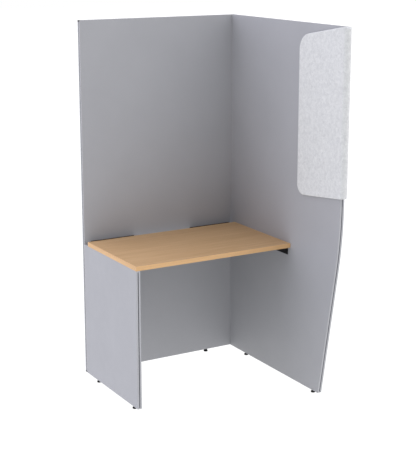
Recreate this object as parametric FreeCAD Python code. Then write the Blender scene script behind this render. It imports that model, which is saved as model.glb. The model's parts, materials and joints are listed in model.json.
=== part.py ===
import FreeCAD, Part
import math
import os

V = FreeCAD.Vector

# Booth sizes in millimetres: +X towards the right panel, +Y towards the back panel, +Z up
booth_width = 885.0
panel_height = 1800.0
panel_thickness = 22.0
right_depth_top = 995.0
right_foot_setback = 145.0
bend_height = 811.0
bend_radius = 1900.0
left_depth = 570.0
desk_height = 720.0
desk_thickness = 22.0
desk_rear_gap = 40.0
desk_side_clearance = 0.5

# Panel build-up: skins, edge trims with a groove, strips in the grooves, caps at the corners
skin_thickness = 1.0
trim_depth = 6.0
groove_width = 5.0
groove_depth = 3.0
strip_thickness = 1.5
cap_length = 9.0

# Desk build-up
laminate_thickness = 0.8
band_thickness = 2.0
band_edge_radius = 0.9

# Steel angles under the desk
angle_flange = 40.0
angle_thickness = 3.0
angle_length = 240.0
angle_bend_radius = 4.0
angle_front_inset = 21.0
rear_angle_reach = 40.0
rear_angle_upstand = 14.0
rear_angle_inset = 15.0
angle_screw_inset = 25.0
angle_screw_count = 3

# Pan-head screws
screw_radius = 2.0
screw_head_radius = 4.2
screw_head_height = 2.6
screw_grip = 13.0
screw_socket_width = 3.2
screw_socket_depth = 1.3

# Bolts, plugs and threaded sleeves that join the panels
bolt_radius = 2.5
bolt_head_radius = 4.25
bolt_head_height = 5.0
bolt_key_width = 4.0
bolt_key_depth = 2.5
plug_thickness = 2.0
sleeve_radius = 4.0
sleeve_length = 24.0
bolt_tip_gap = 2.0
right_joint_shares = (0.06, 0.35, 0.65, 0.94)
left_joint_shares = (0.15, 0.5, 0.85)

# Levelling feet
pad_radius = 11.0
pad_height = 9.0
pad_top_chamfer = 2.2
pad_foot_chamfer = 0.8
pivot_radius = 3.0
pivot_length = 5.0
nut_width = 13.0
nut_height = 6.0
stud_radius = 4.0
stud_length = 28.0
stud_chamfer = 0.8
foot_sleeve_radius = 6.0
foot_sleeve_length = 32.0
foot_corner_inset = 150.0
foot_front_inset = 54.0
left_rear_foot_inset = 118.0

# Felt cover over the front edge of the right panel
felt_thickness = 8.0
felt_wing = 343.0
felt_front_height = 793.0
felt_top_drop = 60.0
felt_bottom_drop = 39.0
felt_top_radius = 80.0
felt_bottom_radius = 50.0
felt_nose_top_radius = 18.0
tape_thickness = 2.0
tape_width = 50.0
tape_inset = 35.0
tape_end_inset = 90.0

# Clearances
drill_clearance = 0.25
fixed_clearance = 0.1
running_clearance = 0.06
pivot_end_clearance = 0.3
overrun = 5.0

# Main planes: the origin is on the floor under the middle of the whole booth
foot_gap = pad_height + nut_height
felt_stand_off = tape_thickness + felt_thickness
felt_nose_radius = panel_thickness / 2 + felt_stand_off
x_left = -(booth_width + felt_stand_off) / 2
x_left_inner = x_left + panel_thickness
x_right = x_left + booth_width
x_right_inner = x_right - panel_thickness
y_back = (right_depth_top + felt_nose_radius) / 2
y_face = y_back - panel_thickness
y_front = y_back - right_depth_top
y_foot = y_front + right_foot_setback
y_desk_front = y_face - left_depth
y_desk_rear = y_face - desk_rear_gap
z_top = foot_gap + panel_height
z_desk_under = desk_height - desk_thickness
x_desk_right = x_right_inner - desk_side_clearance
x_left_middle = x_left + panel_thickness / 2
x_right_middle = x_right - panel_thickness / 2
y_back_middle = y_back - panel_thickness / 2


# Small helpers
def side_point(u, v):
    return V(0, u, v)


def back_point(u, v):
    return V(u, 0, v)


def block(low, high):
    size = high - low
    return Part.makeBox(size.x, size.y, size.z, low)


def single(shape):
    return shape.Solids[0] if len(shape.Solids) == 1 else shape


def rounded_face(corners, point):
    """Face inside corners given as (u, v, radius), with each radius rounded off."""
    ends = []
    for i, (u, v, radius) in enumerate(corners):
        here = point(u, v)
        if radius == 0:
            ends.append((here, None, here))
            continue
        before = point(*corners[i - 1][:2])
        after = point(*corners[(i + 1) % len(corners)][:2])
        a = (before - here).normalize()
        b = (after - here).normalize()
        half = a.getAngle(b) / 2
        middle = (a + b).normalize()
        reach = radius / math.tan(half)
        nearest = radius / math.sin(half) - radius
        ends.append((here + a * reach, here + middle * nearest, here + b * reach))
    edges = []
    for i, (start, middle, end) in enumerate(ends):
        if middle is not None:
            edges.append(Part.Arc(start, middle, end).toShape())
        edges.append(Part.makeLine(end, ends[(i + 1) % len(ends)][0]))
    return Part.Face(Part.Wire(edges))


def hexagon(width, height, base):
    radius = width / math.sqrt(3)
    turns = [math.radians(60 * i) for i in range(7)]
    points = [base + V(radius * math.cos(t), radius * math.sin(t), 0) for t in turns]
    return Part.Face(Part.makePolygon(points)).extrude(V(0, 0, height))


def save(name, *solids):
    shape = solids[0] if len(solids) == 1 else Part.makeCompound(list(solids))
    shape.exportStep(f"parts/{name}.step")


# Outlines of the three panels, each drawn in by inset along its trimmed edges
bend_angle = math.atan2(y_foot - y_front, bend_height)


def right_outline(inset):
    z_bend = foot_gap + bend_height + inset * math.tan(bend_angle / 2)
    low = foot_gap + inset
    fall = foot_gap + bend_height - low
    u_foot = y_front + (inset + fall * math.sin(bend_angle)) / math.cos(bend_angle)
    corners = [
        (y_back - inset, low, 0),
        (u_foot, low, 0),
        (y_front + inset, z_bend, bend_radius - inset),
        (y_front + inset, z_top - inset, 0),
        (y_back - inset, z_top - inset, 0),
    ]
    return rounded_face(corners, side_point)


def left_outline(inset):
    low = foot_gap + inset
    high = z_desk_under - inset
    front = y_desk_front + inset
    corners = [(y_face, low, 0), (front, low, 0), (front, high, 0), (y_face, high, 0)]
    return rounded_face(corners, side_point)


def back_outline(inset):
    low = foot_gap + inset
    high = z_top - inset
    left = x_left + inset
    corners = [(x_right_inner, low, 0), (left, low, 0), (left, high, 0), (x_right_inner, high, 0)]
    return rounded_face(corners, back_point)


class Panel:
    """Two skins on a core, with grooved trims let into its edges and caps at its corners."""

    def __init__(self, name, outline, normal, start, ends, foot_end, top, sides, skins):
        self.name = name
        self.outline = outline
        self.normal = normal
        self.start = start
        self.ends = ends
        self.foot_end = foot_end
        self.top = top
        self.sides = sides
        self.skins = skins

    def layer(self, inset, near, far):
        face = self.outline(inset)
        face.translate(self.normal * (self.start + near))
        return face.extrude(self.normal * (far - near))

    def ring(self, outer, inner, width):
        near = (panel_thickness - width) / 2
        far = near + width
        return self.layer(outer, near, far).cut(self.layer(inner, near, far))

    def zone(self, u_low, u_high, v_low, v_high):
        """Block through the whole thickness, over a stretch of the panel's face."""
        reach = self.normal * self.start
        depth = self.normal * panel_thickness
        point = side_point if self.normal.x else back_point
        return block(point(u_low, v_low) + reach, point(u_high, v_high) + reach + depth)

    def zones(self):
        """Zones of the edge trims, by side, and of the corner caps."""
        u_low, u_high = self.ends
        first, last = self.sides
        far_cap = cap_length if last else 0
        v_low = foot_gap + trim_depth
        v_high = self.top - trim_depth
        middle = (self.foot_end + u_high) / 2
        trims = {
            "top": (u_low + cap_length, u_high - far_cap, v_high, self.top),
            "bottom": (self.foot_end + cap_length, u_high - far_cap, foot_gap, v_low),
            first: (u_low, middle, v_low, v_high),
        }
        caps = [
            (u_low, u_low + cap_length, v_high, self.top),
            (u_low, self.foot_end + cap_length, foot_gap, v_low),
        ]
        if last:
            trims[last] = (middle, u_high, v_low, v_high)
            caps.append((u_high - cap_length, u_high, v_high, self.top))
            caps.append((u_high - cap_length, u_high, foot_gap, v_low))
        return trims, caps

    def build(self, holes):
        core_width = panel_thickness - 2 * skin_thickness
        first_skin = self.layer(0, 0, skin_thickness)
        last_skin = self.layer(0, panel_thickness - skin_thickness, panel_thickness)
        core = self.layer(trim_depth, skin_thickness, panel_thickness - skin_thickness)
        save(f"{self.name}_core", single(core.cut(holes)))
        save(f"{self.name}_{self.skins[0]}_skin", single(first_skin.cut(holes)))
        save(f"{self.name}_{self.skins[1]}_skin", single(last_skin.cut(holes)))
        edge = self.ring(0, trim_depth, core_width)
        groove = self.ring(0, groove_depth, groove_width)
        strip = self.ring(groove_depth - strip_thickness, groove_depth, groove_width)
        trims, caps = self.zones()
        strips = []
        for side, span in trims.items():
            zone = self.zone(*span)
            trim = edge.common(zone).cut(groove).cut(holes)
            save(f"{self.name}_trim_{side}", single(trim))
            strips.extend(strip.common(zone).cut(holes).Solids)
        save(f"{self.name}_groove_strips", *strips)
        corners = [single(edge.common(self.zone(*span))) for span in caps]
        save(f"{self.name}_corner_caps", *corners)


# Joints between the panels: a bolt under a plug, screwed into a sleeve in the next panel
def joint(face_point, inward):
    """Hole, bolt, plug and sleeve of one joint that starts at face_point on an outer face."""
    seat = face_point + inward * (plug_thickness + bolt_head_height)
    meeting = face_point + inward * panel_thickness
    shank_length = panel_thickness - plug_thickness - bolt_head_height + sleeve_length - bolt_tip_gap
    sink_depth = plug_thickness + bolt_head_height
    sink = Part.makeCylinder(bolt_head_radius + drill_clearance, sink_depth, face_point, inward)
    bore_length = panel_thickness - sink_depth
    bore = Part.makeCylinder(bolt_radius + drill_clearance, bore_length, seat, inward)
    pocket = Part.makeCylinder(sleeve_radius + fixed_clearance, sleeve_length, meeting, inward)
    head_start = face_point + inward * plug_thickness
    head = Part.makeCylinder(bolt_head_radius, bolt_head_height, head_start, inward)
    shank = Part.makeCylinder(bolt_radius, shank_length, seat, inward)
    key = hexagon(bolt_key_width, bolt_key_depth, V(0, 0, 0))
    key.Placement = FreeCAD.Placement(head_start, FreeCAD.Rotation(V(0, 0, 1), inward))
    bolt = head.fuse(shank).removeSplitter().cut(key)
    plug = Part.makeCylinder(bolt_head_radius, plug_thickness, face_point, inward)
    sleeve = Part.makeCylinder(sleeve_radius, sleeve_length, meeting, inward)
    sleeve_bore = Part.makeCylinder(bolt_radius + fixed_clearance, sleeve_length, meeting, inward)
    return [sink, bore, pocket], single(bolt), plug, single(sleeve.cut(sleeve_bore))


def joint_row(name, places, inward):
    rows = [joint(place, inward) for place in places]
    save(f"{name}_joint_bolts", *[row[1] for row in rows])
    save(f"{name}_joint_plugs", *[row[2] for row in rows])
    save(f"{name}_joint_sleeves", *[row[3] for row in rows])
    return [hole for row in rows for hole in row[0]]


# Steel angles with their screws: along is the way of an angle's length, out points away from its wall
def angle(start, along, out, reach, leg):
    """Angle from start, where the wall meets the desk's underside; leg is its flange on the wall."""
    rise = V(0, 0, math.copysign(angle_thickness, leg.z))
    heel = start if leg.z < 0 else start - rise
    desk_flange = [heel, heel + out * reach, heel + out * reach + rise]
    wall_flange = [heel + out * angle_thickness + rise, start + out * angle_thickness + leg, start + leg]
    points = desk_flange + wall_flange
    profile = Part.Face(Part.makePolygon(points + [points[0]]))
    solid = profile.extrude(along * angle_length)
    bend = [e for e in solid.Edges if all((p.Point - heel).cross(along).Length < fixed_clearance
                                          for p in e.Vertexes)]
    return solid.makeFillet(angle_bend_radius, bend)


def angle_set(start, along, out, reach, leg):
    """One angle and its screws; the screws' holes are returned too."""
    solid = angle(start, along, out, reach, leg)
    down = V(0, 0, -1)
    pitch = (angle_length - 2 * angle_screw_inset) / (angle_screw_count - 1)
    screws = []
    holes = []
    for i in range(angle_screw_count):
        middle = start + along * (angle_screw_inset + i * pitch)
        desk_out = reach - angle_flange / 2
        seats = [
            (middle + out * desk_out + down * angle_thickness, V(0, 0, 1)),
            (middle + leg / 2 + out * angle_thickness, out * -1),
        ]
        for seat, inward in seats:
            screws.append(screw(seat, inward))
            length = angle_thickness + screw_grip
            holes.append(Part.makeCylinder(screw_radius + fixed_clearance, length, seat, inward))
            through = screw_radius + drill_clearance
            solid = solid.cut(Part.makeCylinder(through, angle_thickness, seat, inward))
    return single(solid), screws, holes


def screw(seat, inward):
    head_top = seat - inward * screw_head_height
    head = Part.makeCylinder(screw_head_radius, screw_head_height, head_top, inward)
    rim = [e for e in head.Edges if e.Closed and e.CenterOfMass.isEqual(head_top, fixed_clearance)]
    head = head.makeFillet(screw_head_height / 2, rim)
    socket = hexagon(screw_socket_width, screw_socket_depth, V(0, 0, 0))
    socket.Placement = FreeCAD.Placement(head_top, FreeCAD.Rotation(V(0, 0, 1), inward))
    shank = Part.makeCylinder(screw_radius, angle_thickness + screw_grip, seat, inward)
    return single(head.fuse(shank).removeSplitter().cut(socket))


# Levelling feet: a pad moulded on a stud that turns in its sleeve
def foot_places():
    return {
        "back_left": V(x_left + foot_corner_inset, y_back_middle, 0),
        "back_right": V(x_right_inner - foot_corner_inset, y_back_middle, 0),
        "right_rear": V(x_right_middle, y_face - foot_corner_inset, 0),
        "right_front": V(x_right_middle, y_foot + foot_front_inset, 0),
        "left_rear": V(x_left_middle, y_face - left_rear_foot_inset, 0),
        "left_front": V(x_left_middle, y_desk_front + foot_front_inset, 0),
    }


def foot_pad(place):
    socket_radius = pivot_radius + fixed_clearance
    socket_floor = pad_height - pivot_length - pivot_end_clearance
    profile = [
        (0, 0),
        (pad_radius - pad_foot_chamfer, 0),
        (pad_radius, pad_foot_chamfer),
        (pad_radius, pad_height - pad_top_chamfer),
        (pad_radius - pad_top_chamfer, pad_height),
        (socket_radius, pad_height),
        (socket_radius, socket_floor),
        (0, socket_floor),
    ]
    points = [V(r, 0, z) + place for r, z in profile]
    return Part.Face(Part.makePolygon(points + [points[0]])).revolve(place, V(0, 0, 1), 360)


def foot_stud(place):
    nut = hexagon(nut_width, nut_height, place + V(0, 0, pad_height))
    stud_top = foot_gap + stud_length
    profile = [
        (0, pad_height - pivot_length),
        (pivot_radius, pad_height - pivot_length),
        (pivot_radius, pad_height),
        (stud_radius, pad_height),
        (stud_radius, stud_top - stud_chamfer),
        (stud_radius - stud_chamfer, stud_top),
        (0, stud_top),
    ]
    points = [V(r, 0, z) + place for r, z in profile]
    rod = Part.Face(Part.makePolygon(points + [points[0]])).revolve(place, V(0, 0, 1), 360)
    return single(nut.fuse(rod).removeSplitter())


def foot_sleeve(place):
    base = place + V(0, 0, foot_gap)
    bore_radius = stud_radius + running_clearance
    bore = Part.makeCylinder(bore_radius, foot_sleeve_length, base)
    return single(Part.makeCylinder(foot_sleeve_radius, foot_sleeve_length, base).cut(bore))


def foot_hole(place):
    base = place + V(0, 0, foot_gap)
    return Part.makeCylinder(foot_sleeve_radius + fixed_clearance, foot_sleeve_length, base)


# Desk top: a board between two laminate sheets, with a band along each edge
def desk(holes):
    board_low = V(x_left, y_desk_front, z_desk_under) + V(band_thickness, band_thickness, 0)
    board_high = V(x_desk_right, y_desk_rear, desk_height) - V(band_thickness, band_thickness, 0)
    under_top = board_low.z + laminate_thickness
    top_under = board_high.z - laminate_thickness
    levels = {
        "desk_under_sheet": (board_low.z, under_top),
        "desk_board": (under_top, top_under),
        "desk_top_sheet": (top_under, board_high.z),
    }
    for name, (low, high) in levels.items():
        sheet = block(V(board_low.x, board_low.y, low), V(board_high.x, board_high.y, high))
        save(name, single(sheet.cut(holes)))
    bands = {
        "front": (x_left, x_desk_right, y_desk_front, board_low.y),
        "rear": (x_left, x_desk_right, board_high.y, y_desk_rear),
        "left": (x_left, board_low.x, board_low.y, board_high.y),
        "right": (board_high.x, x_desk_right, board_low.y, board_high.y),
    }
    outer_faces = {"front": (1, y_desk_front), "rear": (1, y_desk_rear),
                   "left": (0, x_left), "right": (0, x_desk_right)}
    for side, (x_low, x_high, y_low, y_high) in bands.items():
        band = block(V(x_low, y_low, z_desk_under), V(x_high, y_high, desk_height))
        axis, level = outer_faces[side]
        edges = [e for e in band.Edges
                 if abs(e.CenterOfMass[axis] - level) < fixed_clearance
                 and abs(e.CenterOfMass.z - (z_desk_under + desk_height) / 2) > desk_thickness / 4]
        save(f"desk_band_{side}", band.makeFillet(band_edge_radius, edges))


# Felt cover: a sheet folded over the front edge, with tapes that hold it on both faces
def felt_outline():
    nose = y_front - felt_nose_radius
    rear = y_front + felt_wing
    low = z_top - felt_front_height
    slope_share = (rear - nose) / felt_wing
    corners = [
        (rear, low - felt_bottom_drop, felt_bottom_radius),
        (nose, low - felt_bottom_drop + felt_bottom_drop * slope_share, 0),
        (nose, z_top, felt_nose_top_radius),
        (y_front, z_top, 0),
        (rear, z_top - felt_top_drop, felt_top_radius),
    ]
    face = rounded_face(corners, side_point)
    face.translate(V(x_right_inner - felt_stand_off - overrun, 0, 0))
    return face.extrude(V(panel_thickness + 2 * (felt_stand_off + overrun), 0, 0))


def felt_fold(radius):
    """Upright block over the wings, with a half-round nose of this radius in front."""
    low = z_top - felt_front_height - felt_bottom_drop - overrun
    high = z_top + overrun
    rear = y_front + felt_wing + overrun
    axis = V(x_right_middle, y_front, low)
    nose = Part.makeCylinder(radius, high - low, axis)
    wings = block(V(x_right_middle - radius, y_front, low), V(x_right_middle + radius, rear, high))
    return wings.fuse(nose).removeSplitter()


def felt():
    fold = felt_fold(felt_nose_radius).cut(felt_fold(felt_nose_radius - felt_thickness))
    save("felt_cover", single(fold.common(felt_outline())))
    z_low = z_top - felt_front_height + tape_end_inset
    z_high = z_top - felt_top_drop - tape_end_inset
    rear_start = y_front + felt_wing - tape_inset - tape_width
    faces = {"inner": x_right_inner - tape_thickness, "outer": x_right}
    for side, x in faces.items():
        tapes = []
        for y in (y_front + tape_inset, rear_start):
            tapes.append(block(V(x, y, z_low), V(x + tape_thickness, y + tape_width, z_high)))
        save(f"felt_tapes_{side}", *tapes)


# The whole booth
os.makedirs("parts", exist_ok=True)
along_x = V(1, 0, 0)
along_y = V(0, 1, 0)

left_height = z_desk_under - foot_gap
right_joints = [V(x_right, y_back_middle, foot_gap + panel_height * s) for s in right_joint_shares]
left_joints = [V(x_left_middle, y_back, foot_gap + left_height * s) for s in left_joint_shares]
holes = joint_row("right", right_joints, along_x * -1)
holes += joint_row("left", left_joints, along_y * -1)

rear_reach = desk_rear_gap + rear_angle_reach
side_angle_y = y_desk_front + angle_front_inset
hanging = V(0, 0, -angle_flange)
standing = V(0, 0, rear_angle_upstand)
angles = {
    "right": (V(x_right_inner, side_angle_y, z_desk_under), along_y, along_x * -1, angle_flange, hanging),
    "left": (V(x_left_inner, side_angle_y, z_desk_under), along_y, along_x, angle_flange, hanging),
    "rear_left": (V(x_left_inner + rear_angle_inset, y_face, z_desk_under),
                  along_x, along_y * -1, rear_reach, standing),
    "rear_right": (V(x_right_inner - rear_angle_inset - angle_length, y_face, z_desk_under),
                   along_x, along_y * -1, rear_reach, standing),
}
angle_screws = []
for name, spot in angles.items():
    solid, screws, screw_holes = angle_set(*spot)
    save(f"desk_angle_{name}", solid)
    angle_screws += screws
    holes += screw_holes
save("angle_screws", *angle_screws)

places = foot_places()
for name, place in places.items():
    save(f"foot_pad_{name}", foot_pad(place))
    save(f"foot_stud_{name}", foot_stud(place))
save("foot_sleeves", *[foot_sleeve(place) for place in places.values()])
holes += [foot_hole(place) for place in places.values()]

holes = Part.makeCompound(holes)
panels = [
    Panel("right", right_outline, along_x, x_right_inner, (y_front, y_back), y_foot, z_top,
          ("front", "rear"), ("inner", "outer")),
    Panel("left", left_outline, along_x, x_left, (y_desk_front, y_face), y_desk_front,
          z_desk_under, ("front", None), ("outer", "inner")),
    Panel("back", back_outline, along_y, y_face, (x_left, x_right_inner), x_left, z_top,
          ("left", None), ("front", "rear")),
]
for panel in panels:
    panel.build(holes)

desk(holes)
felt()
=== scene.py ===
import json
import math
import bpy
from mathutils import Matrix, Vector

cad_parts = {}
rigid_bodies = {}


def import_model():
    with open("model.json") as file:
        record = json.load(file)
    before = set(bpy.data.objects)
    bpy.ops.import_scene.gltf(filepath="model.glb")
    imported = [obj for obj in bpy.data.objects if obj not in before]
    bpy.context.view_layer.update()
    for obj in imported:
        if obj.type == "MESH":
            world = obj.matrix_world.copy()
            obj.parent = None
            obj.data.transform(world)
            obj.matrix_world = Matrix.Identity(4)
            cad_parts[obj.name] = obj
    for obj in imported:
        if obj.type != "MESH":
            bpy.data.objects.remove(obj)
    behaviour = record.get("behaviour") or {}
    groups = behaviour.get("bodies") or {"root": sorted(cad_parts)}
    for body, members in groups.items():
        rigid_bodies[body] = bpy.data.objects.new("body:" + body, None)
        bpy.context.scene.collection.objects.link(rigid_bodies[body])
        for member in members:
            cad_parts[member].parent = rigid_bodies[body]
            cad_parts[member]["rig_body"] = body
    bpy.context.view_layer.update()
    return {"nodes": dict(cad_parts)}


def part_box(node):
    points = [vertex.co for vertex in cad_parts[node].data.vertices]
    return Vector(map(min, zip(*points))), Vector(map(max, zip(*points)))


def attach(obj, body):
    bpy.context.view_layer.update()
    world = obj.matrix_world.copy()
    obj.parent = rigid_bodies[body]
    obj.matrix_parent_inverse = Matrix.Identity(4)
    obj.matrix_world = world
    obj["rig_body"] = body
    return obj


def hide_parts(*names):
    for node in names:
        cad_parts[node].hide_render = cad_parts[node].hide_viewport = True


bl_info = {
    "name": "Office Booth",
    "version": (1, 0, 0),
    "blender": (4, 5, 0),
    "location": "3D View > Sidebar > Booth",
    "description": "Finishes a work booth: panels, desk, felt cover, fittings, feet and a studio stage",
    "category": "Object",
}

import bmesh
import bpy
from bpy.props import FloatProperty, FloatVectorProperty, IntProperty, PointerProperty
from mathutils import Vector, noise

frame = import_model()

body_of = {node: holder["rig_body"] for node, holder in frame["nodes"].items()}
feet = sorted(node.removeprefix("foot_pad_") for node in frame["nodes"] if node.startswith("foot_pad_"))

# Limits for merging, flattening and rounding a copied solid
MERGE_DISTANCE = 1e-6
FLAT_ANGLE = math.radians(0.05)
ARRIS_ANGLE = math.radians(30)
ARRIS_SEGMENTS = 2
HALF_ROUND = 0.5

# Sides and rings of the round meshes
PAD_SIDES = 48
RIB_SIDES = 8
HEAD_SIDES = 28
HEAD_RINGS = 8
SHANK_SIDES = 20
SOCKET_SIDES = 6

# Steps of the felt's mesh round its fold, at its rims and round its rear corners
FOLD_STEPS = 24
RIM_STEPS = 5
CORNER_STEPS = 16

# Share of its thickness under which the felt's two faces meet in one point
THINNEST_SHARE = 0.01

# A foot pad's outline in shares of its radius and height, and its ribs' ends in shares of its height
PAD_OUTLINE_SHARES = (
    (0, 0), (0.93, 0), (1, 0.08), (1, 0.70), (0.97, 0.78), (0.80, 0.92), (0.72, 1), (0.32, 1), (0, 1),
)
RIB_END_SHARES = (0.08, 0.70)

# Numbers of a Mix node's sockets for colours
MIX_FACTOR = 0
MIX_FIRST = 6
MIX_SECOND = 7
MIX_RESULT = 2


def colour_property(name, description, default):
    return FloatVectorProperty(name=name, description=description, default=default,
                               subtype="COLOR", size=3, min=0, max=1)


def length_property(name, description, default):
    return FloatProperty(name=name, description=description, default=default,
                         subtype="DISTANCE", unit="LENGTH", min=0, precision=5)


def strength_property(name, description, default):
    return FloatProperty(name=name, description=description, default=default, min=0)


def angle_property(name, description, degrees):
    return FloatProperty(name=name, description=description, default=math.radians(degrees),
                         subtype="ANGLE", unit="ROTATION")


def pixel_property(name, description, default):
    return FloatVectorProperty(name=name, description=description, default=default, size=2)


# Sizes and colours that a user would change
class PanelSettings(bpy.types.PropertyGroup):
    """Looks of the three panels"""

    sheet_colour: colour_property("Sheet", "Melamine sheets on the panels' faces", (0.40, 0.405, 0.428))
    trim_colour: colour_property("Trim", "Trims along the panels' edges, and plugs", (0.43, 0.436, 0.46))
    # The groove strips are rubber, and their near-black colour is also painted shade for the grooves
    groove_strip_shade_colour: colour_property("Groove", "Strips in the trims' grooves", (0.075, 0.075, 0.09))
    cap_colour: colour_property("Cap", "Moulded caps at the back panel's corners", (0.012, 0.012, 0.014))
    core_colour: colour_property("Core", "Raw particle board inside", (0.50, 0.37, 0.23))
    arris: length_property("Arris", "Rounding of the sheets', trims' and caps' edges", 0.0004)


class DeskSettings(bpy.types.PropertyGroup):
    """Looks of the desk"""

    wood_colour: colour_property("Wood", "Light wood of the desk's pattern", (0.595, 0.386, 0.203))
    vein_colour: colour_property("Vein", "Darker veins of the desk's pattern", (0.419, 0.245, 0.113))
    band_colour: colour_property("Band", "Light wood of the edge bands", (0.74, 0.455, 0.215))
    under_colour: colour_property("Under sheet", "Plain sheet under the desk", (0.20, 0.185, 0.165))
    arris: length_property("Arris", "Rounding of the desk sheets' edges", 0.00015)


class FeltSettings(bpy.types.PropertyGroup):
    """Looks and sizes of the felt cover"""

    colour: colour_property("Felt", "Light fibres of the felt", (0.820, 0.831, 0.827))
    fleck_colour: colour_property("Fleck", "Darker fibres of the felt", (0.48, 0.49, 0.50))
    tape_colour: colour_property("Tape", "Tapes under the felt", (0.75, 0.75, 0.75))
    thickness: length_property("Thickness", "Thickness of the felt", 0.008)
    front_height: length_property("Front height", "Height of the cover along its fold", 0.793)
    top_drop: length_property("Top drop", "How far the upper rim falls towards the rear", 0.060)
    bottom_drop: length_property("Bottom drop", "How far the lower rim falls towards the rear", 0.039)
    top_radius: length_property("Top corner", "Radius of the upper rear corners", 0.080)
    bottom_radius: length_property("Bottom corner", "Radius of the lower rear corners", 0.050)
    nose_radius: length_property("Nose corner", "Radius of the fold's upper end", 0.018)
    rim_radius: length_property("Rim", "How far in from the rim the felt reaches its full thickness", 0.004)
    mesh_step: length_property("Mesh step", "Distance between the mesh's points", 0.005)
    swell: length_property("Swell", "Depth of the felt's uneven surface", 0.0005)
    swell_size: length_property("Swell size", "Size of the felt's uneven places", 0.022)


class FittingSettings(bpy.types.PropertyGroup):
    """Looks and sizes of the angles, screws, bolts and feet"""

    coat_colour: colour_property("Coat", "Powder coat on the steel angles", (0.006, 0.006, 0.007))
    screw_colour: colour_property("Screw", "Blackened screws and the feet's studs", (0.03, 0.03, 0.032))
    zinc_colour: colour_property("Zinc", "Plated bolts and sleeves", (0.60, 0.61, 0.63))
    foot_colour: colour_property("Foot", "Moulded pads of the feet", (0.007, 0.007, 0.008))
    arris: length_property("Arris", "Rounding of the angles', plugs' and studs' edges", 0.0004)
    socket_width: length_property("Socket", "Width of the screws' sockets across their flats", 0.0032)
    socket_depth: length_property("Socket depth", "Depth of the screws' sockets", 0.0013)
    head_height: length_property("Head height", "Height of the screws' heads", 0.0026)
    rib_radius: length_property("Rib", "Radius of the grip ribs round a foot pad", 0.0007)
    rib_count: IntProperty(name="Ribs", description="Grip ribs round a foot pad", default=30, min=3)


class StageSettings(bpy.types.PropertyGroup):
    """Floor, light and camera"""

    floor_colour: colour_property("Floor", "What the pale floor reflects", (0.10, 0.10, 0.10))
    floor_glow: strength_property("Floor glow", "Light of the floor's own", 1.02)
    floor_size: length_property("Floor size", "Side of the square floor", 60.0)
    left_colour: colour_property("Left colour", "Colour of the rear left light", (0.88, 0.87, 1.0))
    left_glow: strength_property("Left", "Soft light from the rear left", 1.92)
    front_colour: colour_property("Front colour", "Colour of the front right light", (0.99, 0.975, 1.0))
    front_glow: strength_property("Front", "Soft light from the front right", 1.36)
    top_colour: colour_property("Top colour", "Colour of the light from above", (0.94, 0.96, 1.0))
    top_glow: strength_property("Top", "Soft light from above", 1.57)
    camera_place: FloatVectorProperty(name="Camera", description="Where the camera stands", size=3,
                                      subtype="TRANSLATION", unit="LENGTH",
                                      default=(-2.8343, -4.8130, 2.2166))
    camera_yaw: angle_property("Yaw", "Camera's turn to the right of +Y", 30.12)
    camera_tilt: angle_property("Tilt", "Camera's tilt below the horizon", 13.27)
    focal_pixels: FloatProperty(name="Focal length", description="Focal length in pixels",
                                subtype="PIXEL", default=1186.4)
    image_pixels: pixel_property("Image", "Width and height of the picture", (416, 453))
    centre_pixels: pixel_property("Centre", "Where the camera's axis meets the picture", (202.6, 214.6))


# Node trees
def solid(colour):
    """A socket as it is, or a colour with its alpha."""
    return colour if isinstance(colour, bpy.types.NodeSocket) else (*colour, 1)


class Nodes:
    """Adds nodes to a tree, with their inputs set or linked by name or number."""

    def __init__(self, tree):
        self.tree = tree

    def node(self, kind, values=None, **options):
        made = self.tree.nodes.new(kind)
        for option, value in options.items():
            setattr(made, option, value)
        for label, value in (values or {}).items():
            if isinstance(value, bpy.types.NodeSocket):
                self.tree.links.new(value, made.inputs[label])
            else:
                made.inputs[label].default_value = value
        return made

    def math(self, operation, *values):
        return self.node("ShaderNodeMath", dict(enumerate(values)), operation=operation).outputs[0]

    def tint(self, factor, first, second):
        """One colour at factor 0 and the other at 1; each is a colour or a socket."""
        values = {MIX_FACTOR: factor, MIX_FIRST: solid(first), MIX_SECOND: solid(second)}
        return self.node("ShaderNodeMix", values, data_type="RGBA").outputs[MIX_RESULT]


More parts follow.
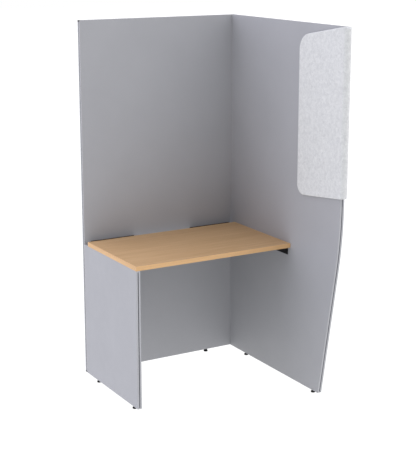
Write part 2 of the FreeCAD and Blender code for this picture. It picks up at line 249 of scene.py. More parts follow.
class Finish(Nodes):
    """A material: a Principled shader and the patterns that feed it."""

    def __init__(self, name, constants):
        self.material = bpy.data.materials.new(name)
        self.material.use_nodes = True
        super().__init__(self.material.node_tree)
        self.shader = self.tree.nodes["Principled BSDF"]
        for label, value in constants.items():
            self.shader.inputs[label].default_value = value

    def feed(self, label, socket):
        self.tree.links.new(socket, self.shader.inputs[label])

    def speckle(self, size, detail=2.0, distortion=0.0):
        """Noise with blotches of about this size, a number or (x, y, z), in metres."""
        sizes = size if isinstance(size, tuple) else (size, size, size)
        place = self.node("ShaderNodeTexCoord").outputs["Object"]
        scaled = self.node("ShaderNodeMapping", {"Vector": place, "Scale": [1 / s for s in sizes]})
        pattern = {"Vector": scaled.outputs["Vector"], "Scale": 1.0, "Detail": detail,
                   "Distortion": distortion}
        return self.node("ShaderNodeTexNoise", pattern).outputs[0]

    def spread(self, pattern, low=0, high=1, start=0.3, end=0.7):
        """The pattern's values from start to end, spread from low to high."""
        span = {"Value": pattern, "From Min": start, "From Max": end, "To Min": low, "To Max": high}
        return self.node("ShaderNodeMapRange", span).outputs["Result"]

    def clouded(self, first, second, size):
        """Two colours in soft clouds of about this size."""
        return self.tint(self.spread(self.speckle(size, detail=3)), first, second)

    def arris(self):
        """1 on the rounded edges of an eased piece, 0 elsewhere."""
        return self.node("ShaderNodeAttribute", attribute_name="arris").outputs["Fac"]

    def paled_arris(self, size, least, most, detail=2, start=0.3):
        """How far the arrises are rubbed, from least to most, in patches of about this size."""
        patches = self.spread(self.speckle(size, detail), least, most, start)
        return self.math("MULTIPLY", self.arris(), patches)

    def roughen(self, pattern, smooth, rough):
        self.feed("Roughness", self.spread(pattern, smooth, rough))

    def bump(self, height, depth):
        made = self.node("ShaderNodeBump", {"Height": height, "Distance": depth, "Strength": 1.0})
        self.feed("Normal", made.outputs["Normal"])


def lighter(colour, share):
    return [c + (1 - c) * share for c in colour]


def darker(colour, share):
    return [c * (1 - share) for c in colour]


def times(colour, factor):
    return [min(c * factor, 1) for c in colour]


# Finishes
def melamine_finish(name, colour):
    """Matt melamine: an even fine grain, faint clouding and slightly rubbed arrises."""
    finish = Finish(name, {"Specular IOR Level": 0.35})
    clouded = finish.clouded(darker(colour, share=0.025), lighter(colour, share=0.01), size=0.22)
    grain = finish.speckle(size=0.0016, detail=3)
    grained = finish.tint(finish.spread(grain, high=0.05), clouded, darker(colour, share=0.35))
    paled_arris = finish.paled_arris(size=0.03, least=0.1, most=0.5)
    finish.feed("Base Color", finish.tint(paled_arris, grained, lighter(colour, share=0.25)))
    finish.roughen(finish.speckle(size=0.05, detail=4), smooth=0.48, rough=0.60)
    finish.bump(grain, depth=0.00004)
    return finish.material


def trim_finish(name, colour):
    """Satin extruded plastic with a faint grain and rubbed arrises."""
    finish = Finish(name, {"Specular IOR Level": 0.45})
    clouded = finish.clouded(darker(colour, share=0.04), lighter(colour, share=0.02), size=0.08)
    paled_arris = finish.paled_arris(size=0.02, least=0.15, most=0.6)
    finish.feed("Base Color", finish.tint(paled_arris, clouded, lighter(colour, share=0.3)))
    finish.roughen(finish.speckle(size=0.012, detail=4), smooth=0.32, rough=0.46)
    finish.bump(finish.speckle(size=0.0009), depth=0.00002)
    return finish.material


def moulded_finish(name, colour, roughness, grain_size):
    """Dark moulded plastic or rubber with a fine spark-eroded grain."""
    finish = Finish(name, {"Specular IOR Level": 0.25})
    unevenness = 0.06
    clouded = finish.clouded(times(colour, factor=0.8), times(colour, factor=1.3), size=0.02)
    paled_arris = finish.paled_arris(size=0.006, least=0, most=0.5)
    finish.feed("Base Color", finish.tint(paled_arris, clouded, times(colour, factor=3)))
    finish.roughen(finish.speckle(size=0.008, detail=3), roughness - unevenness, roughness + unevenness)
    finish.bump(finish.speckle(grain_size, detail=3), depth=0.00005)
    return finish.material


def coat_finish(name, colour):
    """Black powder coat: orange-peel bumps, and arrises rubbed to a dark grey."""
    finish = Finish(name, {"Specular IOR Level": 0.2})
    clouded = finish.clouded(times(colour, factor=0.8), times(colour, factor=1.3), size=0.03)
    paled_arris = finish.paled_arris(size=0.012, least=0, most=0.7, detail=4, start=0.5)
    finish.feed("Base Color", finish.tint(paled_arris, clouded, lighter(colour, share=0.1)))
    finish.roughen(finish.speckle(size=0.01, detail=3), smooth=0.46, rough=0.62)
    finish.bump(finish.speckle(size=0.0011), depth=0.00006)
    return finish.material


def zinc_finish(name, colour):
    """Zinc plate: mottled spangle and fine turning marks."""
    finish = Finish(name, {"Metallic": 1.0})
    spangle = finish.spread(finish.speckle(size=0.004, detail=3, distortion=0.6))
    finish.feed("Base Color", finish.tint(spangle, darker(colour, share=0.12), lighter(colour, share=0.12)))
    finish.roughen(finish.speckle(size=0.003, detail=3), smooth=0.26, rough=0.42)
    finish.bump(finish.speckle(size=(0.004, 0.004, 0.0004)), depth=0.00003)
    return finish.material


def chip_finish(name, colour):
    """Raw particle board: pressed chips of several shades."""
    finish = Finish(name, {"Specular IOR Level": 0.2})
    chips = finish.speckle(size=0.005, detail=4, distortion=1.4)
    dust = finish.speckle(size=0.0012)
    base = finish.tint(finish.spread(chips), darker(colour, share=0.35), lighter(colour, share=0.25))
    finish.feed("Base Color", finish.tint(finish.spread(dust, high=0.35), base, darker(colour, share=0.5)))
    finish.roughen(chips, smooth=0.78, rough=0.92)
    finish.bump(chips, depth=0.0003)
    return finish.material


def wood_finish(name, wood, vein, along):
    """Beech-pattern laminate: soft bands, veins and short flecks that run along one axis."""
    finish = Finish(name, {"Specular IOR Level": 0.4})
    band_share = 0.45
    vein_share = 0.40
    fleck_share = 0.32
    arris_highlight_share = 0.3

    def streaks(length, width, **pattern):
        size = tuple(length if axis == along else width for axis in range(3))
        return finish.speckle(size, **pattern)

    bands = finish.spread(streaks(length=0.55, width=0.030, detail=3, distortion=0.35))
    veins = finish.spread(streaks(length=0.16, width=0.0045, detail=4, distortion=0.2))
    flecks = finish.spread(streaks(length=0.007, width=0.0011), start=0.58, end=0.72)
    ground = finish.tint(finish.math("MULTIPLY", bands, band_share), wood, vein)
    veined = finish.tint(finish.math("MULTIPLY", veins, vein_share), ground, vein)
    flecked = finish.tint(finish.math("MULTIPLY", flecks, fleck_share), veined, darker(vein, share=0.35))
    # Painted highlight: the arrises are paled evenly all along, standing in for light caught on the edges
    paled_arris = finish.math("MULTIPLY", finish.arris(), arris_highlight_share)
    finish.feed("Base Color", finish.tint(paled_arris, flecked, lighter(wood, share=0.3)))
    finish.feed("Roughness", finish.spread(veins, low=0.40, high=0.50, start=0, end=1))
    finish.bump(finish.math("ADD", flecks, veins), depth=0.00003)
    return finish.material


def felt_finish(name, colour, fleck):
    """Pressed felt: curled fibres of two shades, cloudy where they lie thicker."""
    finish = Finish(name, {"Specular IOR Level": 0.1, "Roughness": 0.95, "Sheen Weight": 0.5,
                           "Sheen Roughness": 0.5})
    thread_length = 0.005
    thread_width = 0.0011
    clouds = finish.speckle(size=0.016, detail=3, distortion=0.8)
    fibres = finish.speckle(size=0.0045, detail=5, distortion=2.2)
    upright = finish.speckle(size=(thread_width, thread_width, thread_length), detail=3, distortion=1.6)
    level = finish.speckle(size=(thread_length, thread_length, thread_width), detail=3, distortion=1.6)
    threads = finish.math("MAXIMUM", upright, level)
    clouded = finish.tint(finish.spread(clouds, high=0.55), colour, fleck)
    mixed = finish.tint(finish.spread(fibres, high=0.55), clouded, fleck)
    bright = finish.spread(threads, high=0.4, start=0.54)
    finish.feed("Base Color", finish.tint(bright, mixed, lighter(colour, share=0.3)))
    finish.bump(finish.math("ADD", fibres, threads), depth=0.0006)
    return finish.material


def tape_finish(name, colour):
    """Hook-and-loop tape: a rough pile of small loops."""
    finish = Finish(name, {"Specular IOR Level": 0.1, "Sheen Weight": 0.2})
    loops = finish.speckle(size=0.0012, detail=3, distortion=1.5)
    finish.feed("Base Color", finish.tint(finish.spread(loops), darker(colour, share=0.3), colour))
    finish.roughen(loops, smooth=0.8, rough=0.95)
    finish.bump(loops, depth=0.0004)
    return finish.material


def floor_finish(name, colour, glow):
    """Pale matt studio floor with a white light of its own."""
    finish = Finish(name, {"Specular IOR Level": 0.0, "Roughness": 1.0, "Emission Strength": glow,
                           "Emission Color": (1, 1, 1, 1)})
    clouded = finish.clouded(darker(colour, share=0.01), lighter(colour, share=0.05), size=0.8)
    finish.feed("Base Color", clouded)
    return finish.material


# Meshes
def dress(material, *nodes):
    """Gives CAD nodes that keep their shape a finish."""
    for node in nodes:
        for slot in frame["nodes"][node].material_slots:
            slot.material = material


def add_piece(name, mesh, material, node):
    """Adds a finished mesh that stands for a CAD node and rides with the node's body."""
    mesh.materials.clear()
    mesh.materials.append(material)
    piece = bpy.data.objects.new(name, mesh)
    bpy.context.scene.collection.objects.link(piece)
    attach(piece, body_of[node])
    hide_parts(node)
    return piece


def merged_copy(node):
    """A CAD node's solids with their triangles joined up again."""
    shape = bmesh.new()
    shape.from_mesh(frame["nodes"][node].data)
    bmesh.ops.remove_doubles(shape, verts=shape.verts, dist=MERGE_DISTANCE)
    return shape


def finished_mesh(name, shape, smooth):
    """A mesh of the shape, without the normals that its solid brought along."""
    mesh = bpy.data.meshes.new(name)
    for face in shape.faces:
        face.smooth = smooth
    shape.to_mesh(mesh)
    shape.free()
    if "custom_normal" in mesh.attributes:
        mesh.attributes.remove(mesh.attributes["custom_normal"])
    return mesh


def eased(node, rounding, material):
    """Adds a copy of a CAD node with rounded arrises, which stands for the node."""
    shape = merged_copy(node)
    bmesh.ops.dissolve_limit(shape, angle_limit=FLAT_ANGLE, verts=shape.verts, edges=shape.edges)
    rubbed = shape.faces.layers.float.new("arris")
    arrises = [e for e in shape.edges if e.is_manifold and e.calc_face_angle() > ARRIS_ANGLE]
    made = bmesh.ops.bevel(shape, geom=arrises, offset=rounding, offset_type="OFFSET", affect="EDGES",
                           segments=ARRIS_SEGMENTS, profile=HALF_ROUND, clamp_overlap=True)
    for face in made["faces"]:
        face[rubbed] = 1.0
    name = f"{node}_eased"
    add_piece(name, finished_mesh(name, shape, smooth=False), material, node)


def separate_solids(node):
    """The points of each separate solid in a CAD node."""
    shape = merged_copy(node)
    seen = set()
    solids = []
    for start in shape.verts:
        if start in seen:
            continue
        seen.add(start)
        reached = [start]
        for point in reached:
            beside = [edge.other_vert(point) for edge in point.link_edges]
            fresh = [other for other in beside if other not in seen]
            seen.update(fresh)
            reached.extend(fresh)
        solids.append([point.co.copy() for point in reached])
    shape.free()
    return solids


class Growth(Nodes):
    """A geometry node tree with named inputs; grow() gives the mesh that it makes."""

    def __init__(self, name, inputs):
        group = bpy.data.node_groups.new(name, "GeometryNodeTree")
        super().__init__(group)
        sockets = group.interface
        sockets.new_socket("Geometry", in_out="INPUT", socket_type="NodeSocketGeometry")
        self.keys = {}
        for label, kind in inputs.items():
            made = sockets.new_socket(label, in_out="INPUT", socket_type="NodeSocket" + kind)
            self.keys[label] = made.identifier
        sockets.new_socket("Geometry", in_out="OUTPUT", socket_type="NodeSocketGeometry")
        self.given = self.node("NodeGroupInput").outputs

    def vector(self, x=0.0, y=0.0, z=0.0):
        return self.node("ShaderNodeCombineXYZ", {0: x, 1: y, 2: z}).outputs[0]

    def cylinder(self, sides, radius, depth, rings=1):
        """An upright cylinder about the origin."""
        size = {"Vertices": sides, "Side Segments": rings, "Radius": radius, "Depth": depth}
        return self.node("GeometryNodeMeshCylinder", size).outputs["Mesh"]

    def moved(self, geometry, way):
        values = {"Geometry": geometry, "Translation": way}
        return self.node("GeometryNodeTransform", values).outputs[0]

    def joined(self, *parts):
        whole = self.node("GeometryNodeJoinGeometry")
        for part in parts:
            self.tree.links.new(part, whole.inputs[0])
        return whole.outputs[0]

    def end(self, geometry):
        """Makes the instances real and gives them their finish."""
        real = self.node("GeometryNodeRealizeInstances", {"Geometry": geometry}).outputs[0]
        values = {"Geometry": real, "Material": self.given["Finish"]}
        coloured = self.node("GeometryNodeSetMaterial", values).outputs[0]
        self.node("NodeGroupOutput", {0: coloured})

    def grow(self, mesh, values):
        """The mesh that the tree makes of a starting mesh and values for its inputs."""
        holder = bpy.data.objects.new(mesh.name, mesh)
        bpy.context.scene.collection.objects.link(holder)
        modifier = holder.modifiers.new(self.tree.name, "NODES")
        modifier.node_group = self.tree
        for label, value in values.items():
            modifier[self.keys[label]] = value
        graph = bpy.context.evaluated_depsgraph_get()
        made = bpy.data.meshes.new_from_object(holder.evaluated_get(graph), depsgraph=graph)
        bpy.data.objects.remove(holder)
        return made


# Screws of the steel angles
def pan_head(tree):
    """A screw's head, from its top at the origin along +Z, with its outer half rounded."""
    radius = tree.given["Head Radius"]
    height = tree.given["Head Height"]
    half = tree.math("MULTIPLY", height, 0.5)
    blank = tree.cylinder(HEAD_SIDES, radius, height, rings=HEAD_RINGS)
    place = tree.node("GeometryNodeInputPosition").outputs[0]
    x, y, z = tree.node("ShaderNodeSeparateXYZ", {0: place}).outputs
    rise = tree.math("MAXIMUM", tree.math("MULTIPLY", z, -1.0), 0.0)
    square = tree.math("SUBTRACT", tree.math("MULTIPLY", half, half), tree.math("MULTIPLY", rise, rise))
    rounding = tree.math("SQRT", tree.math("MAXIMUM", square, 0.0))
    reach = tree.math("ADD", tree.math("SUBTRACT", radius, half), rounding)
    share = tree.math("DIVIDE", reach, radius)
    rounded = tree.vector(tree.math("MULTIPLY", x, share), tree.math("MULTIPLY", y, share),
                          tree.math("ADD", z, half))
    return tree.node("GeometryNodeSetPosition", {"Geometry": blank, "Position": rounded}).outputs[0]


def screw_growth():
    """Pan-head screws with a hexagon socket, one on each point, along the point's way in."""
    tree = Growth("screws", {"Head Radius": "Float", "Head Height": "Float", "Shank Radius": "Float",
                             "Shank Length": "Float", "Socket Width": "Float", "Socket Depth": "Float",
                             "Finish": "Material"})
    size = tree.given
    corner_radius = tree.math("DIVIDE", size["Socket Width"], math.sqrt(3))
    socket = tree.cylinder(SOCKET_SIDES, corner_radius, tree.math("MULTIPLY", size["Socket Depth"], 2.0))
    head = tree.node("GeometryNodeMeshBoolean", {"Mesh 1": pan_head(tree), "Mesh 2": socket},
                     operation="DIFFERENCE").outputs[0]
    middle = tree.math("ADD", size["Head Height"], tree.math("MULTIPLY", size["Shank Length"], 0.5))
    shank = tree.cylinder(SHANK_SIDES, size["Shank Radius"], size["Shank Length"])
    screw = tree.joined(tree.moved(shank, tree.vector(z=middle)), head)
    way_in = tree.node("GeometryNodeInputNamedAttribute", {"Name": "way_in"}, data_type="FLOAT_VECTOR")
    turn = tree.node("FunctionNodeAlignRotationToVector", {"Vector": way_in.outputs[0]}, axis="Z")
    points = tree.node("GeometryNodeMeshToPoints", {"Mesh": size["Geometry"]})
    placed = tree.node("GeometryNodeInstanceOnPoints", {"Points": points.outputs[0], "Instance": screw,
                                                        "Rotation": turn.outputs[0]})
    tree.end(placed.outputs[0])
    return tree


def screw_place(points):
    """The middle of a screw's head top, the way that the screw points, and the size of its box."""
    low = Vector(map(min, *points))
    high = Vector(map(max, *points))
    size = high - low
    middle = (low + high) / 2
    axis = max(range(3), key=lambda i: size[i])
    across = Vector([0 if i == axis else 1 for i in range(3)])
    widest = max(points, key=lambda point: ((point - middle) * across).length)
    head_is_high = widest[axis] > middle[axis]
    top = middle.copy()
    top[axis] = high[axis] if head_is_high else low[axis]
    way_in = Vector()
    way_in[axis] = -1 if head_is_high else 1
    return top, way_in, size


def angle_screws(settings, material):
    """Adds the screws of all four angles, each where its CAD solid is and pointing the same way."""
    tops, ways, boxes = zip(*map(screw_place, separate_solids("angle_screws")))
    length = max(boxes[0])
    radius = min(boxes[0]) / 2
    mesh = bpy.data.meshes.new("angle_screws_turned")
    mesh.from_pydata(tops, [], [])
    mesh.attributes.new("way_in", "FLOAT_VECTOR", "POINT")
    for item, way in zip(mesh.attributes["way_in"].data, ways):
        item.vector = way
    sizes = {"Head Radius": radius, "Head Height": settings.head_height, "Shank Radius": radius / 2,
             "Shank Length": length - settings.head_height, "Socket Width": settings.socket_width,
             "Socket Depth": settings.socket_depth, "Finish": material}
    made = screw_growth().grow(mesh, sizes)
    add_piece("angle_screws_turned", made, material, "angle_screws")


# Levelling feet
def rib_growth():
    """A ring of upright grip ribs round a foot pad, joined to the pad."""
    tree = Growth("grip ribs", {"Centre": "Vector", "Ring Radius": "Float", "Rib Radius": "Float",
                                "Rib Height": "Float", "Ribs": "Int", "Finish": "Material"})
    size = tree.given
    ring = tree.node("GeometryNodeMeshCircle", {"Vertices": size["Ribs"], "Radius": size["Ring Radius"]})
    rib = tree.cylinder(RIB_SIDES, size["Rib Radius"], size["Rib Height"])
    ribs = tree.node("GeometryNodeInstanceOnPoints", {"Points": ring.outputs[0], "Instance": rib})
    tree.end(tree.joined(tree.moved(ribs.outputs[0], size["Centre"]), size["Geometry"]))
    return tree


def turned_mesh(name, profile, centre):
    """A solid of revolution about an upright axis through centre, from (radius, height) points."""
    shape = bmesh.new()
    rings = []
    for radius, height in profile:
        turns = [math.tau * i / PAD_SIDES for i in range(PAD_SIDES)] if radius > 0 else [0]
        ring = [shape.verts.new(centre + Vector((radius * math.cos(t), radius * math.sin(t), height)))
                for t in turns]
        rings.append(ring)
    for lower, upper in zip(rings, rings[1:]):
        for i in range(PAD_SIDES):
            corners = [lower[i % len(lower)], lower[(i + 1) % len(lower)],
                       upper[(i + 1) % len(upper)], upper[i % len(upper)]]
            # At a pole two corners are one point, which a face takes once
            shape.faces.new(dict.fromkeys(corners))
    bmesh.ops.recalc_face_normals(shape, faces=shape.faces)
    mesh = finished_mesh(name, shape, smooth=True)
    mesh.set_sharp_from_angle(angle=ARRIS_ANGLE)
    return mesh


def foot(name, settings, pad_material, stud_material, ribs):
    """Adds one levelling foot: a ribbed pad, and the stud and hexagon above it."""
    node = f"foot_pad_{name}"
    low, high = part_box(node)
    centre = Vector(((low.x + high.x) / 2, (low.y + high.y) / 2, low.z))
    radius = (high.x - low.x) / 2 - settings.rib_radius
    height = high.z - low.z
    profile = [(radius * across, height * up) for across, up in PAD_OUTLINE_SHARES]
    pad = turned_mesh(f"{node}_ribbed", profile, centre)
    rib_foot, rib_top = [height * share for share in RIB_END_SHARES]
    middle = centre + Vector((0, 0, (rib_foot + rib_top) / 2))
    sizes = {"Centre": middle, "Ring Radius": radius, "Rib Radius": settings.rib_radius,
             "Rib Height": rib_top - rib_foot, "Ribs": settings.rib_count, "Finish": pad_material}
    add_piece(f"{node}_ribbed", ribs.grow(pad, sizes), pad_material, node)
    eased(f"foot_stud_{name}", settings.arris, stud_material)


# Felt cover
class FeltSide:
    """Side view of the felt cover: where its rim runs, and how far inside it a point lies."""

    def __init__(self, settings):
        low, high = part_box("felt_cover")
        self.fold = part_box("right_inner_skin")[0].y
        self.nose = low.y
        self.rear = high.y
        self.crest = high.z
        self.foot = high.z - settings.front_height
        self.wing = self.rear - self.fold
        self.top_slope = settings.top_drop / self.wing
        self.bottom_slope = settings.bottom_drop / self.wing
        self.nose_radius = settings.nose_radius
        self.top_radius = settings.top_radius
        self.bottom_radius = settings.bottom_radius
        top_y = self.rear - self.top_radius
        bottom_y = self.rear - self.bottom_radius
        top_lean = math.hypot(1, self.top_slope)
        bottom_lean = math.hypot(1, self.bottom_slope)
        self.top_centre = Vector((top_y, self.top_line(top_y) - self.top_radius * top_lean))
        self.bottom_centre = Vector((bottom_y, self.bottom_line(bottom_y) + self.bottom_radius * bottom_lean))
        self.top_turn = top_y + self.top_radius * self.top_slope / top_lean
        self.bottom_turn = bottom_y - self.bottom_radius * self.bottom_slope / bottom_lean

    def top_line(self, y):
        return self.crest - self.top_slope * max(y - self.fold, 0)

    def bottom_line(self, y):
        return self.foot - self.bottom_slope * (y - self.fold)

    def top(self, y):
        if y > self.top_turn:
            return self.top_centre.y + math.sqrt(max(self.top_radius**2 - (y - self.top_centre.x)**2, 0))
        short = max(self.nose_radius - (y - self.nose), 0)
        return self.top_line(y) - self.nose_radius + math.sqrt(self.nose_radius**2 - short**2)

    def bottom(self, y):
        if y > self.bottom_turn:
            below = math.sqrt(max(self.bottom_radius**2 - (y - self.bottom_centre.x)**2, 0))
            return self.bottom_centre.y - below
        return self.bottom_line(y)

    def inside(self, y, z):
        """Distance from a point to the nearest rim."""
        gaps = [self.rear - y, self.top(y) - z, z - self.bottom(y)]
        point = Vector((y, z))
        if y > self.top_turn and z > self.top_centre.y:
            gaps.append(self.top_radius - (point - self.top_centre).length)
        if y > self.bottom_turn and z < self.bottom_centre.y:
            gaps.append(self.bottom_radius - (point - self.bottom_centre).length)
        return max(min(gaps), 0)

    def wing_places(self, step):
        """Places along one wing, from the fold to the rear rim, closer together at its corners."""
        corner = self.rear - self.top_radius
        count = round((corner - self.fold) / step)
        places = [self.fold + (corner - self.fold) * i / count for i in range(1, count)]
        turns = [math.pi / 2 * i / CORNER_STEPS for i in range(CORNER_STEPS + 1)]
        return places + [corner + self.top_radius * math.sin(turn) for turn in turns]

    def columns(self, step):
        """(y, way out) of each upright line of points, from one rear rim round the fold to the other."""
        wing = self.wing_places(step)
        turns = [math.pi * i / FOLD_STEPS for i in range(FOLD_STEPS + 1)]
        left = [(y, Vector((-1, 0, 0))) for y in reversed(wing)]
        front = [(self.fold, Vector((-math.cos(turn), -math.sin(turn), 0))) for turn in turns]
        right = [(y, Vector((1, 0, 0))) for y in wing]
        return left + front + right


def felt_heights(settings, bottom, top):
    """Heights of the points on one upright line, closer together at both rims."""
    radius = settings.rim_radius
    rim = [radius * (1 - math.cos(math.pi / 2 * i / RIM_STEPS)) for i in range(RIM_STEPS + 1)]
    rows = round(settings.front_height / settings.mesh_step)
    span = top - bottom - 2 * radius
    between = [bottom + radius + span * i / rows for i in range(1, rows)]
    return [bottom + r for r in rim] + between + [top - r for r in reversed(rim)]


def felt_column(shape, settings, side, spot, way_out):
    """Adds the points of one upright line; gives the outer ones, the inner ones and the line's length."""
    half = settings.thickness / 2
    bottom, top = side.bottom(spot.y), side.top(spot.y)
    outer = []
    inner = []
    for z in felt_heights(settings, bottom, top):
        point = Vector((spot.x, spot.y, z))
        gap = side.inside(spot.y, z)
        fullness = math.sqrt(1 - (1 - min(gap / settings.rim_radius, 1))**2)
        swell = settings.swell * (noise.noise(point / settings.swell_size) - 1) / 2
        outer.append(shape.verts.new(point + way_out * fullness * (half + swell)))
        if fullness < THINNEST_SHARE:
            inner.append(outer[-1])
            continue
        lining = point - way_out * fullness * half
        # Round the fold the lining lies flat on the panel's front edge
        if spot.y <= side.fold:
            lining.y = side.fold
            lining.z += (side.crest - top) * (z - bottom) / (top - bottom)
        inner.append(shape.verts.new(lining))
    return outer, inner, top - bottom


def felt_mesh(settings):
    """The felt as one closed sheet folded round the panel's front edge, with its flat size and area."""
    side = FeltSide(settings)
    low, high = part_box("felt_cover")
    axis_x = (low.x + high.x) / 2
    bend = (high.x - low.x) / 2 - settings.thickness / 2
    shape = bmesh.new()
    columns = []
    for y, way_out in side.columns(settings.mesh_step):
        spot = Vector((axis_x, y, 0)) + way_out * bend
        columns.append((spot, *felt_column(shape, settings, side, spot, way_out)))
    spots, outer_grid, inner_grid, lengths = zip(*columns)
    for grid in (outer_grid, inner_grid):
        for left, right in zip(grid, grid[1:]):
            for i in range(len(left) - 1):
                shape.faces.new((left[i], right[i], right[i + 1], left[i + 1]))
    bmesh.ops.recalc_face_normals(shape, faces=shape.faces)
    widths = [(after - before).length for before, after in zip(spots, spots[1:])]
    area = sum(width * (a + b) / 2 for width, a, b in zip(widths, lengths, lengths[1:]))
    flat = (2 * side.wing + math.pi * bend, high.z - low.z)
    return finished_mesh("felt_cover_folded", shape, smooth=True), flat, area


# Stage
def add_floor(settings):
    half = settings.floor_size / 2
    corners = [(-half, -half, 0), (half, -half, 0), (half, half, 0), (-half, half, 0)]
    mesh = bpy.data.meshes.new("floor")
    mesh.from_pydata(corners, [], [range(len(corners))])
    mesh.materials.append(floor_finish("studio_floor", settings.floor_colour, settings.floor_glow))
    floor = bpy.data.objects.new("floor", mesh)
    bpy.context.scene.collection.objects.link(floor)


def add_light(settings):
    """Soft glows from two sides and above; the camera sees plain white behind the booth."""
    world = bpy.data.worlds.new("studio")
    world.use_nodes = True
    bpy.context.scene.world = world
    sky = Nodes(world.node_tree)
    way = sky.node("ShaderNodeTexCoord").outputs["Generated"]
    lift = 0.14
    falloff = 2.0
    glows = [
        ((-1, 1, lift), settings.left_colour, settings.left_glow),
        ((1, -1, lift), settings.front_colour, settings.front_glow),
        ((0, 0, 1), settings.top_colour, settings.top_glow),
    ]
    light = (0, 0, 0)
    for direction, colour, glow in glows:
        facing = sky.node("ShaderNodeVectorMath", {0: way, 1: Vector(direction).normalized()},
                          operation="DOT_PRODUCT").outputs["Value"]
        soft = sky.math("POWER", sky.math("MAXIMUM", facing, 0.0), falloff)
        beam = sky.node("ShaderNodeVectorMath", {0: [c * glow for c in colour], "Scale": soft},
                        operation="SCALE").outputs[0]
        light = sky.node("ShaderNodeVectorMath", {0: beam, 1: light}, operation="ADD").outputs[0]
    seen = sky.node("ShaderNodeLightPath").outputs["Is Camera Ray"]
    shown = sky.tint(seen, light, (1, 1, 1))
    sky.tree.links.new(shown, sky.tree.nodes["Background"].inputs["Color"])
    bpy.context.scene.view_settings.view_transform = "Standard"


def add_camera(settings):
    """A camera at the photographed angle; its centre is shifted as the picture's framing needs."""
    data = bpy.data.cameras.new("camera")
    width, height = settings.image_pixels
    data.lens = settings.focal_pixels * data.sensor_width / height
    data.shift_x = (width / 2 - settings.centre_pixels[0]) / height
    data.shift_y = (settings.centre_pixels[1] - height / 2) / height
    camera = bpy.data.objects.new("camera", data)
    camera.location = settings.camera_place
    camera.rotation_euler = (math.pi / 2 - settings.camera_tilt, 0, -settings.camera_yaw)
    bpy.context.scene.collection.objects.link(camera)
    bpy.context.scene.camera = camera


# Operators
class BOOTH_OT_panels(bpy.types.Operator):
    """Round the arrises of the three panels and finish their sheets, trims, strips, caps and cores"""

    bl_idname = "booth.panels"
    bl_label = "Panels"

    def execute(self, context):
        settings = context.scene.booth_panels
        sheet = melamine_finish("melamine_grey", settings.sheet_colour)
        trim = trim_finish("trim_grey", settings.trim_colour)
        # Painted shade: the groove strips' near-black colour also stands for the shade inside the grooves
        strip = moulded_finish("groove_rubber", settings.groove_strip_shade_colour, roughness=0.6, grain_size=0.0006)
        cap = moulded_finish("cap_plastic", settings.cap_colour, roughness=0.5, grain_size=0.0005)
        core = chip_finish("panel_particle_board", settings.core_colour)
        for node in sorted(frame["nodes"]):
            if node.endswith("_skin"):
                eased(node, settings.arris, sheet)
            elif "_trim_" in node:
                eased(node, settings.arris, trim)
            elif node.endswith("_groove_strips"):
                dress(strip, node)
            elif node.endswith("_core"):
                dress(core, node)
        eased("back_corner_caps", settings.arris, cap)
        for panel in ("left", "right"):
            eased(f"{panel}_corner_caps", settings.arris, trim)
        return {"FINISHED"}


class BOOTH_OT_panel_joints(bpy.types.Operator):
    """Finish the bolts and sleeves between the panels and the plugs over them"""

    bl_idname = "booth.panel_joints"
    bl_label = "Panel joints"

    def execute(self, context):
        settings = context.scene.booth_fittings
        zinc = zinc_finish("joint_zinc", settings.zinc_colour)
        plug = trim_finish("plug_grey", context.scene.booth_panels.trim_colour)
        for panel in ("left", "right"):
            dress(zinc, f"{panel}_joint_bolts", f"{panel}_joint_sleeves")
            eased(f"{panel}_joint_plugs", settings.arris, plug)
        return {"FINISHED"}


class BOOTH_OT_desk(bpy.types.Operator):
    """Finish the desk's sheets, board and edge bands, with a beech pattern on its top and edges"""

    bl_idname = "booth.desk"
    bl_label = "Desk"

    def execute(self, context):
        settings = context.scene.booth_desk
        along_x, along_y = 0, 1
        top = wood_finish("desk_beech", settings.wood_colour, settings.vein_colour, along_x)
        eased("desk_top_sheet", settings.arris, top)
        band_vein = darker(settings.band_colour, share=0.28)
        for along, sides in ((along_x, ("front", "rear")), (along_y, ("left", "right"))):
            band = wood_finish(f"band_beech_{sides[0]}", settings.band_colour, band_vein, along)
            dress(band, *[f"desk_band_{side}" for side in sides])
        dress(chip_finish("desk_particle_board", context.scene.booth_panels.core_colour), "desk_board")
        eased("desk_under_sheet", settings.arris, melamine_finish("desk_backing", settings.under_colour))
        return {"FINISHED"}


class BOOTH_OT_desk_angles(bpy.types.Operator):
    """Finish the four steel angles that carry the desk and turn their screws"""

    bl_idname = "booth.desk_angles"
    bl_label = "Desk angles"

    def execute(self, context):
        settings = context.scene.booth_fittings
        coat = coat_finish("angle_powder_coat", settings.coat_colour)
        for node in sorted(frame["nodes"]):
            if node.startswith("desk_angle_"):
                eased(node, settings.arris, coat)
        angle_screws(settings, coat_finish("screw_black", settings.screw_colour))
        return {"FINISHED"}


class BOOTH_OT_felt_cover(bpy.types.Operator):
    """Fold the felt over the right panel's front edge and finish the tapes that hold it"""

    bl_idname = "booth.felt_cover"
    bl_label = "Felt cover"

    def execute(self, context):
        settings = context.scene.booth_felt
        material = felt_finish("felt_grey", settings.colour, settings.fleck_colour)
        mesh, flat, area = felt_mesh(settings)
        felt = add_piece("felt_cover_folded", mesh, material, "felt_cover")
        tapes = ("felt_tapes_inner", "felt_tapes_outer")
        dress(tape_finish("loop_tape", settings.tape_colour), *tapes)
        return {"FINISHED"}


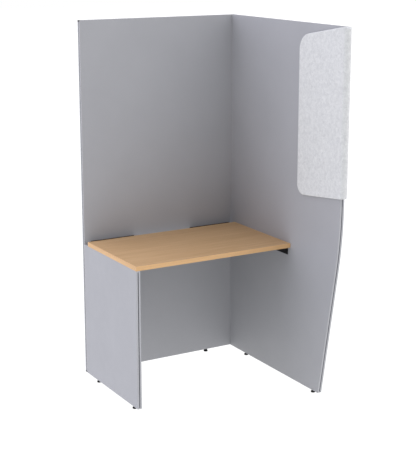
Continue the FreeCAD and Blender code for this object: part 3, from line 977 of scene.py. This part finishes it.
class BOOTH_OT_feet(bpy.types.Operator):
    """Turn the six levelling feet and finish the sleeves that they screw into"""

    bl_idname = "booth.feet"
    bl_label = "Levelling feet"

    def execute(self, context):
        settings = context.scene.booth_fittings
        pad = moulded_finish("foot_nylon", settings.foot_colour, roughness=0.5, grain_size=0.0004)
        dress(zinc_finish("foot_zinc", settings.zinc_colour), "foot_sleeves")
        black = coat_finish("stud_black", settings.screw_colour)
        ribs = rib_growth()
        for name in feet:
            foot(name, settings, pad, black, ribs)
        return {"FINISHED"}


class BOOTH_OT_stage(bpy.types.Operator):
    """Set a pale floor, soft light from two sides and above, and the camera"""

    bl_idname = "booth.stage"
    bl_label = "Stage"

    def execute(self, context):
        settings = context.scene.booth_stage
        add_floor(settings)
        add_light(settings)
        add_camera(settings)
        return {"FINISHED"}


class BOOTH_PT_sidebar(bpy.types.Panel):
    """Buttons for each group of pieces"""

    bl_idname = "BOOTH_PT_sidebar"
    bl_label = "Office Booth"
    bl_space_type = "VIEW_3D"
    bl_region_type = "UI"
    bl_category = "Booth"

    def draw(self, context):
        for operator in operators:
            self.layout.operator(operator.bl_idname)


operators = (
    BOOTH_OT_panels,
    BOOTH_OT_panel_joints,
    BOOTH_OT_desk,
    BOOTH_OT_desk_angles,
    BOOTH_OT_felt_cover,
    BOOTH_OT_feet,
    BOOTH_OT_stage,
)
settings_groups = {
    "booth_panels": PanelSettings,
    "booth_desk": DeskSettings,
    "booth_felt": FeltSettings,
    "booth_fittings": FittingSettings,
    "booth_stage": StageSettings,
}


def register():
    for group in settings_groups.values():
        bpy.utils.register_class(group)
    for name, group in settings_groups.items():
        setattr(bpy.types.Scene, name, PointerProperty(type=group))
    for operator in operators:
        bpy.utils.register_class(operator)
    bpy.utils.register_class(BOOTH_PT_sidebar)


def unregister():
    bpy.utils.unregister_class(BOOTH_PT_sidebar)
    for operator in reversed(operators):
        bpy.utils.unregister_class(operator)
    for name in settings_groups:
        delattr(bpy.types.Scene, name)
    for group in reversed(settings_groups.values()):
        bpy.utils.unregister_class(group)


def main():
    register()
    bpy.ops.booth.panels()
    bpy.ops.booth.panel_joints()
    bpy.ops.booth.desk()
    bpy.ops.booth.desk_angles()
    bpy.ops.booth.felt_cover()
    bpy.ops.booth.feet()
    bpy.ops.booth.stage()


if __name__ == "__main__":
    main()
